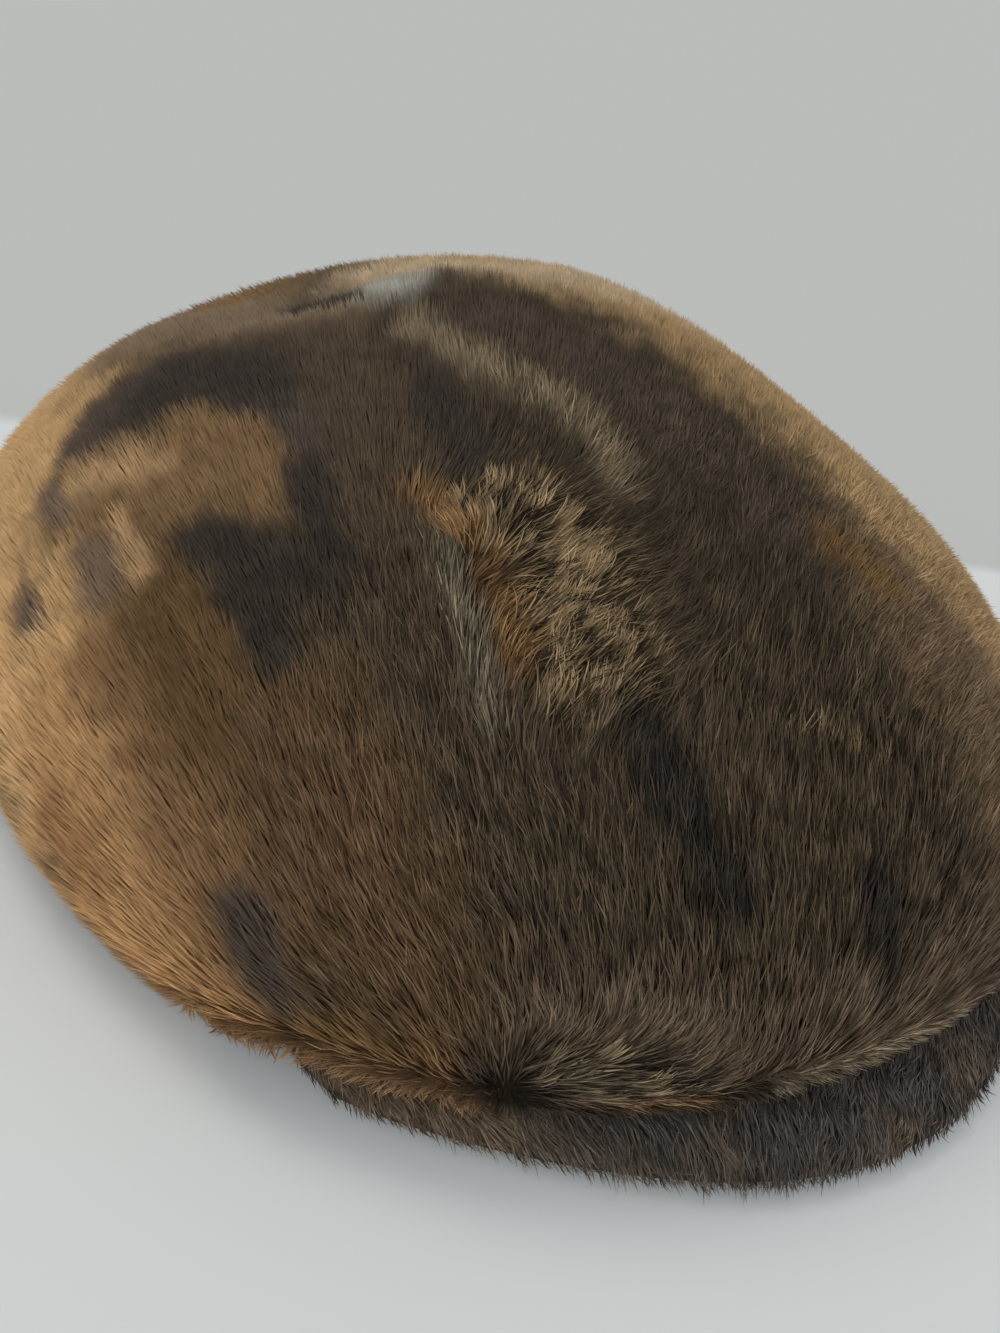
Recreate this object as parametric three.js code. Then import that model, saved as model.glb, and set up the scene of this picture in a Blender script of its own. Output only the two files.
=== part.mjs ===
// A fur flat cap that lies on a table: a hollow fur crown whose front lip overhangs a fur covered peak.
// Millimetres, +Z up. The table is z = 0, the cap's front is toward -Y, the wearer's left toward +X. The
// shapes are worked out about the middle of the head opening, and the whole cap is then centred.
import * as THREE from 'three';

// Driving sizes of the crown, measured over the pile of the fur; the dome springs from its widest level
const CROWN = {
  height: 97,
  widestLevel: 10,
  halfWidth: 117,
  frontReach: 145,
  backReach: 134,
  lean: 5.5,
};

// Squareness of the plan outline, and fullness of the dome seen from each side (2 is an ellipse)
const PLAN_POWER = 2.4;
const DOME_POWER = { front: 1.65, side: 1.76, back: 1.62 };

// The skin and the pile together, how much of that the hollow's dome springs higher than the outside, and
// the opening for a head of about 560 mm round
const WALL = 8;
const HOLLOW_SPRING = 0.75;
const OPENING = { halfWidth: 80, halfLength: 97 };

// Sections of the rolled lower edge: spread is the part of the widest plan, lift the part of the rise
// over the peak
const ROLL = [
  { level: 6.5, spread: 0.996, lift: 0.5 },
  { level: 3.4, spread: 0.984, lift: 0.72 },
  { level: 1.2, spread: 0.964, lift: 0.9 },
  { level: 0, spread: 0.93, lift: 1 },
];

// Sections of the turned in hem: out is the part of the way from the opening to the rolled edge
const HEM = [
  { level: 0, out: 0.5, lift: 1 },
  { level: 0, out: 0.1, lift: 1 },
  { level: 1.6, out: 0.01, lift: 1 },
  { level: 4, out: 0, lift: 1 },
  { level: 6.4, out: 0.02, lift: 1 },
  { level: 8, out: 0.12, lift: 1 },
  { level: 8, out: 0.6, lift: 1 },
];

// Sections of the hollow's lower edge, inside, from the hem up
const POCKET = [
  { level: 9.5, spread: 0.99, lift: 0.9 },
  { level: 12.5, spread: 1.0, lift: 0.6 },
];

// The peak is a crescent from the opening's edge to an outer ellipse with a slightly wavy edge; from
// hornStart its horns draw in under the crown and end at hornEnd, as bearings from straight ahead in
// radians. The section's powers are the squareness of its edges and of its faces (1 is an ellipse)
const PEAK = {
  halfWidth: 119,
  halfLength: 154.5,
  thickness: 7,
  openingGap: 2,
  edgePower: 0.5,
  facePower: 0.7,
  waveHeight: 0.9,
  waves: 9,
  hornStart: 0.57,
  hornEnd: 0.92,
  hornShare: 0.3,
};

// The crown rises over the peak, with a small gap, and by leftExtra more from leftReach on toward the
// wearer's left. It sinks back beyond the peak's edge, from clear to sideReach, and past its horns, up to
// the bearing end. The dome carries a part of it upward, fading by a power of the height left
const RISE = {
  height: PEAK.thickness + 0.7,
  leftExtra: 2.5,
  leftReach: 60,
  clear: 4,
  sideReach: 11,
  end: 1.2,
  carried: 0.36,
  fadePower: 3,
};

// Folds and dents of the crown: how far each stands out or in, how wide it is, and its way over the plan
const FOLDS = [
  { name: 'crest', height: 3.5, width: 15, path: [[-27, -14], [-27, -40], [-21, -64], [-15, -88]] },
  { name: 'valley', height: -4, width: 14, path: [[-46, -34], [-52, -60], [-58, -84], [-58, -102]] },
  { name: 'right lobe', height: 3.5, width: 26, path: [[-74, 14], [-82, -14]] },
  { name: 'saddle', height: -3.5, width: 15, path: [[-54, 38], [-50, 10]] },
  { name: 'cross crease', height: -1.6, width: 8, path: [[-16, -111], [-4, -114], [10, -118]] },
  { name: 'left dent', height: -3, width: 26, path: [[56, -44], [62, 20]] },
  { name: 'back roll', height: 2.5, width: 22, path: [[-30, 78], [34, 80]] },
];

// How finely the surfaces are divided
const AROUND = 112;
const DOME_STEPS = 22;
const HOLLOW_STEPS = 9;
const PEAK_STEPS = 44;
const PEAK_SIDES = 14;

const smooth = (low, high, value) => THREE.MathUtils.smoothstep(value, low, high);
const power = (value, exponent) => Math.sign(value) * Math.abs(value) ** exponent;
const polar = (halfWidth, halfLength, bearing) => (
  1 / Math.hypot(Math.sin(bearing) / halfWidth, Math.cos(bearing) / halfLength)
);

// A point of the widest plan outline, shrunk by a factor
function planPoint(angle, share) {
  const across = power(Math.cos(angle), 2 / PLAN_POWER);
  const along = power(Math.sin(angle), 2 / PLAN_POWER);
  const reach = along < 0 ? CROWN.frontReach : CROWN.backReach;
  return new THREE.Vector2(across * CROWN.halfWidth * share, along * reach * share);
}

// Where the peak starts and ends at a bearing, from the middle of the opening, and how thick it is
function peakSpan(bearing) {
  const inner = polar(OPENING.halfWidth, OPENING.halfLength, bearing) + PEAK.openingGap;
  const wave = PEAK.waveHeight * Math.cos(PEAK.waves * bearing);
  const outer = polar(PEAK.halfWidth, PEAK.halfLength, bearing) + wave;
  const drawn = (1 - PEAK.hornShare) * smooth(PEAK.hornStart, PEAK.hornEnd, Math.abs(bearing));
  return { inner, outer: outer - (outer - inner) * drawn, thickness: PEAK.thickness * (1 - drawn) };
}

// How far the crown rises over the peak at a point of the plan
function rise(point) {
  const bearing = Math.atan2(point.x, -point.y);
  const ahead = 1 - smooth(PEAK.hornEnd, RISE.end, Math.abs(bearing));
  const beyond = point.length() - peakSpan(bearing).outer;
  const over = 1 - smooth(RISE.clear, RISE.sideReach, beyond);
  return (RISE.height + RISE.leftExtra * smooth(0, RISE.leftReach, point.x)) * ahead * over;
}

// Distance in plan from a point to a path of straight stretches
function pathDistance(point, path) {
  const distances = path.slice(1).map((end, step) => {
    const from = new THREE.Vector3(...path[step], 0);
    const nearest = new THREE.Line3(from, new THREE.Vector3(...end, 0))
      .closestPointToPoint(new THREE.Vector3(point.x, point.y, 0), true, new THREE.Vector3());
    return Math.hypot(nearest.x - point.x, nearest.y - point.y);
  });
  return Math.min(...distances);
}

// Moves a point of either side of the wall outward or inward by the folds that pass it
function fold(point) {
  let height = 0;
  for (const row of FOLDS) {
    height += row.height * Math.exp(-((pathDistance(point, row.path) / row.width) ** 2));
  }
  return point.setLength(point.length() + height);
}

// Dome power at this angle: the side's, turning to the front's or the back's
function domePower(angle) {
  const along = Math.sin(angle) ** 2;
  const end = Math.sin(angle) < 0 ? DOME_POWER.front : DOME_POWER.back;
  return DOME_POWER.side * (1 - along) + end * along;
}

// One ring of points, made by a function of the angle round the cap
function ringOf(makePoint) {
  return Array.from({ length: AROUND }, (_, step) => makePoint((2 * Math.PI * step) / AROUND));
}

// One ring of the dome between the widest level and the top, moved inward by inset
function domeRing(turn, inset) {
  return ringOf((angle) => {
    const exponent = 2 / domePower(angle);
    const point = planPoint(angle, Math.cos(turn) ** exponent);
    const rim = planPoint(angle, 1);
    const base = CROWN.widestLevel + HOLLOW_SPRING * inset;
    const share = Math.sin(turn) ** exponent;
    const lifted = RISE.carried * rise(rim) * (1 - share) ** RISE.fadePower;
    const level = base + (CROWN.height - inset - base) * share + lifted;
    point.multiplyScalar(1 - inset / rim.length());
    return fold(new THREE.Vector3(point.x + CROWN.lean * (level / CROWN.height) ** 2, point.y, level));
  });
}

// One ring below the widest level, moved inward by inset
function rollRing(row, inset) {
  return ringOf((angle) => {
    const point = planPoint(angle, row.spread);
    point.setLength(point.length() - inset);
    return new THREE.Vector3(point.x, point.y, row.level + row.lift * rise(point));
  });
}

// One ring of the turned in hem, between the opening and the rolled edge
function hemRing(row) {
  return ringOf((angle) => {
    const outer = planPoint(angle, ROLL[ROLL.length - 1].spread);
    const inner = new THREE.Vector2(
      OPENING.halfWidth * Math.cos(angle),
      OPENING.halfLength * Math.sin(angle),
    );
    const point = inner.lerp(outer, row.out);
    return new THREE.Vector3(point.x, point.y, row.level + row.lift * rise(point));
  });
}

// A closed mesh through rings of equal length, each facet split along its shorter diagonal, with a fan
// at both ends
function loft(rings) {
  const count = rings[0].length;
  const points = rings.flat();
  const index = [];
  for (let row = 0; row + 1 < rings.length; row++) {
    for (let step = 0; step < count; step++) {
      const a = row * count + step;
      const b = row * count + ((step + 1) % count);
      const falling = points[b].distanceTo(points[a + count]);
      const rising = points[a].distanceTo(points[b + count]);
      if (falling < rising) index.push(a, a + count, b, b, a + count, b + count);
      else index.push(a, a + count, b + count, a, b + count, b);
    }
  }
  for (const row of [0, rings.length - 1]) {
    const tip = points.length;
    const centre = new THREE.Vector3();
    for (const point of rings[row]) centre.addScaledVector(point, 1 / count);
    points.push(centre);
    for (let step = 0; step < count; step++) {
      const a = row * count + step;
      const b = row * count + ((step + 1) % count);
      if (row === 0) index.push(tip, a, b);
      else index.push(tip, b, a);
    }
  }
  const geometry = new THREE.BufferGeometry().setFromPoints(points);
  geometry.setIndex(index);
  geometry.computeVertexNormals();
  return geometry;
}

// The hollow crown: dome, rolled edge and hem outside, then the hollow back up to its top
function crownGeometry() {
  const upright = Math.PI / 2;
  const rings = [];
  for (let step = 1; step <= DOME_STEPS; step++) {
    rings.push(domeRing(upright * (1 - step / DOME_STEPS), 0));
  }
  for (const row of ROLL) rings.push(rollRing(row, 0));
  for (const row of HEM) rings.push(hemRing(row));
  for (const row of POCKET) rings.push(rollRing(row, WALL));
  for (let step = HOLLOW_STEPS; step >= 1; step--) {
    rings.push(domeRing(upright * (1 - step / HOLLOW_STEPS), WALL));
  }
  return loft(rings);
}

// The peak: rounded radial sections from horn to horn
function peakGeometry() {
  const rings = [];
  for (let step = 0; step <= PEAK_STEPS; step++) {
    const bearing = PEAK.hornEnd * ((2 * step) / PEAK_STEPS - 1);
    const span = peakSpan(bearing);
    const ring = [];
    for (let side = 0; side < PEAK_SIDES; side++) {
      const turn = (2 * Math.PI * side) / PEAK_SIDES;
      const middle = (span.outer + span.inner) / 2;
      const half = (span.outer - span.inner) / 2;
      const radius = middle + half * power(Math.cos(turn), PEAK.edgePower);
      const level = (span.thickness / 2) * (1 + power(Math.sin(turn), PEAK.facePower));
      ring.push(new THREE.Vector3(radius * Math.sin(bearing), -radius * Math.cos(bearing), level));
    }
    rings.push(ring);
  }
  return loft(rings);
}

const fur = (color) => new THREE.MeshStandardMaterial({ color, roughness: 0.9, metalness: 0 });

const cap = new THREE.Group();
const crown = new THREE.Mesh(crownGeometry(), fur('#5a4733'));
crown.name = 'crown';
const peak = new THREE.Mesh(peakGeometry(), fur('#3f3429'));
peak.name = 'peak';
cap.add(crown, peak);

// The frame's origin is on the table, under the middle of the whole cap
const middle = new THREE.Box3().setFromObject(cap).getCenter(new THREE.Vector3());
cap.position.set(-middle.x, -middle.y, 0);

export default cap;
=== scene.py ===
# A fur flat cap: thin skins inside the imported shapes, and short lying strands of fur that grow from them.
# Tables are in millimetres in the cap's own frame: the front is toward -Y and the wearer's left toward +X.
import math

import bpy
import numpy as np
from mathutils import Matrix, Vector
from mathutils.kdtree import KDTree


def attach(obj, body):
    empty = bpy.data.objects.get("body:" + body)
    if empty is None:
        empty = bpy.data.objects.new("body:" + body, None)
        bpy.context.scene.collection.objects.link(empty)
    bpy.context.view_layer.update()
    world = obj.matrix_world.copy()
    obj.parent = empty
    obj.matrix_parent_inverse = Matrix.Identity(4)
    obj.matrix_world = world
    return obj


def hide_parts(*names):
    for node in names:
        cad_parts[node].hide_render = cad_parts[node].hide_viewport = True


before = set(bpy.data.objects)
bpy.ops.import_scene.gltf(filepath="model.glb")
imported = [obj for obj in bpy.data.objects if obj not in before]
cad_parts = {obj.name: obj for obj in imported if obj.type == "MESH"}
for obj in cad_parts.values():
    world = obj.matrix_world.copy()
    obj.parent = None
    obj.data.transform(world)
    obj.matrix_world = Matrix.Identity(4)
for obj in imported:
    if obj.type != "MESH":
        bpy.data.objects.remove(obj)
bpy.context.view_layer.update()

MM = 0.001

# How deep the pile stands over the skin
PILE = {"crown": 2.6, "peak": 2}

# A point well inside the head hollow, which tells the outside of the wall from its inside
HEART = (0, 10, 25)

# The coats: the number of strands, the seed of the random numbers, how far apart the tufts stand and how
# many sections a strand has. The crown's also give a strand's usual length and width, and whether it stands
# up where the fur is ruffled or is the bed under those that do, which is darkened as painted shade.
COATS = {
    "crown_fur": {
        "strands": 260000, "seed": 21, "tufts": 2, "sections": 2,
        "length": 7.8, "width": 0.21, "standing": False,
    },
    "crown_tufts": {
        "strands": 12000, "seed": 22, "tufts": 2.6, "sections": 4,
        "length": 6.5, "width": 0.24, "standing": True,
    },
    "peak_fur": {"strands": 36000, "seed": 23, "tufts": 3.2, "sections": 2},
}
CROWN_PIECES = 5

# Form of a strand from its root to its tip: the width where each section starts, beside the usual one, how
# fast it bends down to the lift of its tip, where its curl passes the lay, and how late it bends to its tuft
TAPER = (0.75, 1, 0.8, 0.6)
LIFT_POWER = 1.6
CURL_MIDDLE = 0.3
PULL_POWER = 1.5

# Strands come no nearer to the table than this
TABLE_GAP = 0.2

# How much lighter a strand is at its tip than in its middle, beside what its root is darker
TIP_GLOW = 0.35

# Amount of light that the fur and the skin at its roots send back beside the tones read off the photo
FUR_GAIN = 1.9
ROOT_GAIN = 0.8

# Share of the light that goes through a strand
LIGHT_THROUGH = 0.28

# A skin's face is under fur where one of its corners is furry by more than this
LEAST_FURRY = 0.05

# Soft steps, from the value that gives none to the value that gives all. The first six go by the upward part
# of the normal, the next two by the distance from a line beside its half width, and the others by place,
# distance or noise.
STEPS = {
    "furry crown": (-1, -0.6),
    "furry peak": (-1, -0.5),
    "under": (0.1, -0.6),
    "turned in": (0.3, -0.5),
    "lit from above": (0.2, -0.6),
    "peak edge": (0.7, 0),
    "ruffled": (1.4, 0.7),
    "fringe": (1.4, 0.5),
    "fine from the back": (70, 10),
    "fine from the left": (95, 50),
    "crisp": (105, 50),
    "peak shown": (88, 112),
    "peak near rim": (9, 0),
    "peak right end": (-35, -75),
    "peak nap": (-70, 0),
    "warm": (-0.2, 1.4),
    "peak patches": (0.2, 1.5),
}

# Smooth noises: how long their waves are, their seeds, and how far they go to either side of 0
RIPPLES = {
    "patch edges": (11, 5, 0.14),
    "fine patch edges": (4.5, 6, 0.08),
    "warmth": (46, 8, 1),
    "crown stray": (7, 11, 0.12),
    "crown shade": (5, 12, 0.1),
    "peak stray": (9, 31, 0.2),
    "peak patches": (20, 32, 1),
    "fine peak patches": (6, 33, 0.5),
}
WAVES = 9
WAVE_LENGTHS = (0.7, 1.5)

# What makes fixed random numbers of a cell's place in a grid, and the salts of a tuft's place and chance
CELL_FACTORS = (127.1, 311.7, 74.7)
SALT_FACTOR = 53.3
SCRAMBLE = 43758.5453
PLACE_SALTS = (1, 2, 3)
CHANCE_SALT = 4

# Lengths that count as none, so that nothing is divided by 0
NO_LENGTH = 1e-12
NO_SINE = 1e-9

# Digits after the point, in millimetres, by which corners count as the same
SAME_DIGITS = 3

# Weight of every comb even far from its place
FAR_COMB = 1e-9

# How crisp the crown's fur is falls with the distance from this place
CRISP_PLACE = (-10, -110, 50)

# The crown's strands: shares of their usual length and width, where along its length and how high in the
# pile one is seen, how far strands and tufts go astray and curl in radians, how much lifts vary in degrees,
# which chance makes a straight tuft, and what makes up the shade, where 0 is the dark tone and 1 the light
CROWN_FUR = {
    "least length": 0.4,
    "least density": 0.4,
    "greatest width": 1.5,
    "soft width": 0.3,
    "lengths": (0.75, 1.2),
    "widths": (0.6, 1.4),
    "seen along": 0.65,
    "seen above": 0.8,
    "stray": 0.06,
    "tuft stray": 0.7,
    "lift": 3,
    "curl": 0.2,
    "tuft curl": 1.1,
    "straight tuft": 0.3,
    "strand shade": 0.85,
    "tuft shade": 0.2,
    "ruffled shade": 0.6,
    "middle shade": 0.45,
    "lightest": 1.35,
}

# Measures of the crown's strands: the plain value, and what each state of the fur adds where it is full.
# Lifts are in degrees.
CROWN_HABITS = {
    "root lift": (28, {"ruffled": 20, "bed": -8, "soft": 5}),
    "tip lift": (4, {"ruffled": 14, "soft": 16}),
    "root shade": (0.88, {"crisp": -0.64}),
    "stray": (1, {"crisp": 1.5}),
    "roll": (0.2, {"crisp": 0.15}),
    "pull": (0.25, {"ruffled": 0.3}),
    "darkness": (1.3, {"ruffled": 0.7}),
    "contrast": (0.25, {"crisp": 1.05}),
}

# By what share each state of the fur makes the crown's strands longer and lighter, or shorter and darker.
# The lighter and darker are painted light and shade: painted shade on the bed under the tufts, and painted
# light on lofty soft fur and where the fur turns under, which both lie in shade
CROWN_LENGTHENS = {"fringe": -0.1, "under": -0.4}
CROWN_PAINTED_LIGHT_AND_SHADE = {"bed": -0.55, "soft": 0.1, "turned in": 0.35}

# The same for the peak's strands, with lengths and widths in millimetres, and lifts as a middle and a spread
PEAK_FUR = {
    "lengths": (5, 8),
    "widths": (0.13, 0.24),
    "root lift": (24, 4),
    "tip lift": (2, 3),
    "stray": 0.14,
    "tuft stray": 0.2,
    "most stray": 1.2,
    "curl": 0.35,
    "roll": 0.3,
    "darkness": 1.6,
    "tuft shade": 0.25,
    "lightest": 1.1,
    "hidden density": 0.05,
}
PEAK_HABITS = {
    "root shade": (0.45, {"near rim": 0.15}),
    "pull": (0.25, {"near rim": -0.2}),
    "outward": (0, {"edge": 0.35, "right end": 0.5}),
    "tan": (0, {"patches": 0.4, "right end": 0.85, "near rim": 0.25}),
}
PEAK_LENGTHENS = {"near rim": -0.45, "edge": -0.35}
PEAK_LIGHTENS = {"near rim": -0.4}

# Bearing of the peak's nap at its right end and on its left half, and how far it leans down at the edge
PEAK_NAP = (-72, -136)
PEAK_LEAN = 0.35

# The peak's rim is where the skin's normal points up less than this
RIM_NORMAL = 0.5

# How much upward is mixed into the facing of strands where the skin turns under
LIT_FROM_ABOVE = 1.4

# How far warm places go toward the warm brown
WARMEST = 0.5

# Tones of the fur as dark and light strands, in the photo's colours from 0 to 255
TONES = {
    "brown": ((32, 25, 17), (88, 75, 59)),
    "left brown": ((58, 42, 27), (106, 84, 62)),
    "warm brown": ((52, 42, 31), (88, 74, 58)),
    "top brown": ((42, 34, 26), (70, 59, 47)),
    "top dark": ((50, 42, 35), (82, 69, 56)),
    "right brown": ((74, 60, 46), (118, 98, 77)),
    "dark": ((43, 37, 32), (60, 52, 46)),
    "soft dark": ((60, 51, 45), (82, 70, 60)),
    "black": ((19, 17, 15), (60, 53, 46)),
    "olive": ((76, 57, 36), (100, 78, 52)),
    "tan": ((92, 71, 48), (124, 99, 70)),
    "lobe tan": ((86, 72, 58), (128, 109, 88)),
    "pale tan": ((134, 108, 78), (156, 130, 98)),
    # Tan fur, partly painted rim light where it lies along the crown's edge at the wearer's left
    "tan with painted rim light": ((112, 90, 62), (170, 143, 106)),
    # Painted rim light: a pale tan for the fur along the top edge of the crown, where it catches the light
    "painted rim light": ((130, 112, 90), (180, 162, 136)),
    "orange tan": ((146, 117, 80), (176, 147, 109)),
    "flank brown": ((104, 78, 52), (134, 104, 74)),
    "low orange": ((138, 106, 71), (174, 140, 100)),
    "edge tan": ((158, 128, 92), (190, 157, 116)),
    "spot": ((90, 74, 60), (114, 96, 79)),
    "orange": ((66, 46, 26), (142, 110, 74)),
    "dull orange": ((84, 64, 40), (118, 92, 60)),
    "straw": ((30, 24, 16), (140, 119, 90)),
    "grey": ((44, 38, 30), (128, 117, 97)),
    "pale grey": ((118, 116, 110), (150, 146, 136)),
    # A lighter lock along the crest, partly painted highlight where the ridge faces the light
    "crest": ((76, 66, 52), (132, 116, 93)),
    "lip brown": ((58, 48, 38), (110, 94, 76)),
    "lip line": ((134, 114, 93), (188, 164, 138)),
    "lip tan": ((106, 80, 56), (166, 132, 98)),
    # Painted shade: a duller, darker tan where the low side turns away from the light
    "hem tan in painted shade": ((124, 92, 62), (156, 120, 84)),
    "lip straw": ((30, 26, 21), (124, 108, 86)),
    "peak black": ((55, 52, 51), (118, 112, 107)),
    "peak tan": ((104, 89, 73), (156, 137, 115)),
}

# Patches of the crown, in the order they are laid: tone, half width, how soft the edge is, and the line
# along their middle
PATCHES = [
    # The broad tones of the top, the sides and the unseen back
    ("top brown", 34, 0.5, ((-30, 10, 88), (-15, -30, 90), (0, -60, 80))),
    ("olive", 32, 0.5, ((0, 60, 82), (20, 112, 52))),
    ("tan", 34, 0.5, ((-70, 50, 65), (-50, 95, 55), (-20, 130, 30))),
    ("tan with painted rim light", 30, 0.4, ((80, 60, 50), (60, 100, 40))),
    # The next two, along the wearer's left side and its edge: tan fur, partly painted rim light
    ("tan with painted rim light", 29, 0.5,
     ((0, 24, 92), (29, 0, 90), (46, -34, 82), (55, -62, 71), (62, -88, 56), (64, -104, 30))),
    ("tan with painted rim light", 34, 0.35, ((60, 30, 80), (84, -10, 60), (92, -50, 40))),
    # Painted rim light along the top edge of the crown
    ("painted rim light", 11, 0.9, ((-30, 24, 91), (-15, 10, 95), (8, 6, 96), (32, -2, 92))),
    ("right brown", 13, 0.6, ((30, -88, 63), (42, -104, 50), (40, -118, 34))),
    ("orange tan", 26, 0.5, ((-98, 30, 38), (-94, 75, 34))),
    ("soft dark", 11, 0.9, ((16, 44, 86), (30, 66, 80), (46, 74, 70))),
    ("dark", 8, 0.9, ((-50, 94, 57), (-36, 104, 54), (-18, 124, 36))),
    ("dark", 9, 0.9, ((98, 2, 45), (94, 20, 53), (90, 46, 43))),
    ("soft dark", 8, 0.9, ((84, 80, 42), (74, 98, 34), (58, 108, 38))),
    ("warm brown", 16, 0.9, ((100, -50, 26), (106, -10, 22), (104, 40, 20))),
    # The right side, from the lobe down
    ("lobe tan", 15, 0.6, ((-74, 36, 70), (-62, 26, 79), (-50, 10, 85))),
    ("warm brown", 12, 0.5, ((-58, -6, 80), (-53, -26, 77), (-56, -42, 72))),
    ("orange tan", 19, 0.5, ((-98, 10, 48), (-104, -20, 38), (-103, -45, 34), (-102, -60, 28))),
    ("edge tan", 8, 0.8, ((-111, -10, 26), (-109, -36, 22), (-107, -52, 22))),
    ("low orange", 9, 0.7, ((-104, -46, 31), (-103, -64, 25), (-98, -78, 20), (-92, -90, 14))),
    ("tan", 12.5, 0.7, ((-94, -12, 54), (-86, -26, 59), (-80, -32, 63))),
    ("low orange", 10, 0.5, ((-103, -70, 18), (-96, -83, 17), (-91, -93, 14))),
    ("flank brown", 9.5, 0.7, ((-95, -48, 44), (-92, -66, 39), (-91, -80, 32), (-88, -92, 24))),
    # Painted shade where the low side at the wearer's right turns away from the light
    ("hem tan in painted shade", 4, 0.9, ((-106, -56, 20), (-103, -68, 18))),
    ("left brown", 11, 0.8, ((-79, -76, 47), (-75, -92, 37), (-69, -104, 26), (-71, -111, 19))),
    ("olive", 10, 0.7, ((-89, -46, 51), (-87, -58, 49), (-86, -70, 45))),
    ("soft dark", 6, 0.4, ((-68, -14, 75), (-65, -29, 72), (-65, -38, 69))),
    ("soft dark", 10.5, 0.4, ((-90, 5, 61), (-82, 2, 69))),
    ("dark", 11.5, 0.4, ((-78, -2, 72), (-69, -12, 75))),
    ("pale tan", 4.5, 0.7, ((-95, -10, 55), (-90, -15, 60), (-84, -20, 63))),
    ("tan", 5.5, 0.5, ((-80, -17, 68), (-76, -21, 69), (-72, -29, 70), (-71, -42, 66))),
    ("dark", 4, 0.5, ((-65, -40, 69), (-66, -49, 66), (-67, -57, 62))),
    ("dark", 5.5, 0.4, ((-82, -42, 58), (-78, -49, 59), (-72, -55, 60), (-69, -58, 60))),
    ("dark", 5, 0.4, ((-79, -54, 57), (-77, -66, 53))),
    ("pale tan", 2.5, 0.6, ((-91, -40, 52), (-92, -26, 55))),
    ("spot", 3.4, 0.5, ((-100, -3, 50), (-99, -12, 50))),
    ("spot", 4, 0.5, ((-96, -27, 50), (-96, -36, 48))),
    ("spot", 3.4, 0.5, ((-106, -19, 38), (-106, -26, 37))),
    ("left brown", 3, 0.5, ((-82, -71, 47), (-80, -84, 41))),
    ("soft dark", 4.5, 0.6, ((-87, -90, 26), (-85, -99, 19))),
    # The top, from the crest to the wearer's left
    ("pale grey", 6.5, 0.6, ((-34, 2, 90), (-38, 10, 88))),
    ("dark", 5.5, 0.4, ((-43, 12, 86), (-47, 18, 84))),
    ("top dark", 12, 0.7, ((-22, -26, 91), (-8, -42, 88), (5, -58, 81), (14, -72, 74))),
    ("dull orange", 4.5, 0.8, ((19, -76, 72), (27, -85, 66))),
    # Painted shade in the dip beside the crest
    ("dark", 4.5, 0.4, ((-41, -30, 82), (-42, -40, 79), (-41, -49, 76))),
    # A lighter lock along the crest, partly painted highlight where the ridge faces the light
    ("crest", 3.5, 0.8,
     ((-38, -12, 88), (-35, -26, 88), (-30, -40, 87), (-25, -50, 85), (-22, -60, 82), (-23, -66, 79))),
    ("warm brown", 8, 0.5, ((-54, -38, 74), (-53, -54, 68))),
    # The whorl and the crease beside it
    ("straw", 9, 0.35, ((-41, -63, 71), (-36, -76, 68), (-37, -89, 60))),
    ("orange", 3.2, 0.5, ((-51, -49, 72), (-47, -61, 69))),
    ("orange", 3, 0.6, ((-45, -68, 67), (-46, -84, 58))),
    ("grey", 2.2, 0.6, ((-50, -60, 67), (-51, -73, 61), (-53, -89, 52))),
    # The front and the lower edge
    ("black", 5, 0.5, ((-34, -99, 55), (-33, -107, 49))),
    ("black", 4.2, 0.6, ((-33, -104, 51), (-30, -112, 44), (-27, -119, 38))),
    ("straw", 1.4, 0.8, ((-9, -101, 54), (1, -104, 52), (10, -108, 49))),
    ("lip brown", 9, 0.7, ((-54, -123, 22), (-26, -132, 20), (0, -134, 20), (30, -130, 20))),
    ("dull orange", 4, 0.8, ((-80, -103, 14), (-70, -111, 15))),
    ("black", 3.8, 0.35, ((-1, -121, 37), (-1, -131, 27))),
    ("lip line", 3.2, 0.5, ((-18, -133, 12), (0, -134, 12), (20, -131, 12), (40, -124, 12), (60, -111, 12))),
    ("low orange", 9, 0.6, ((-110, -40, 3), (-104, -64, 3), (-96, -82, 3), (-88, -94, 4))),
    ("lip tan", 5, 0.6, ((-90, -94, 5), (-84, -101, 7), (-76, -108, 9), (-66, -116, 10))),
    ("dark", 3.5, 0.6, ((-62, -119, 15), (-56, -123, 14))),
    ("lip straw", 4.2, 0.5, ((-52, -123, 19), (-45, -126, 18), (-37, -129, 16))),
    ("lip tan", 2.2, 0.6, ((-44, -129, 12), (-32, -131, 12))),
]

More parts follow.
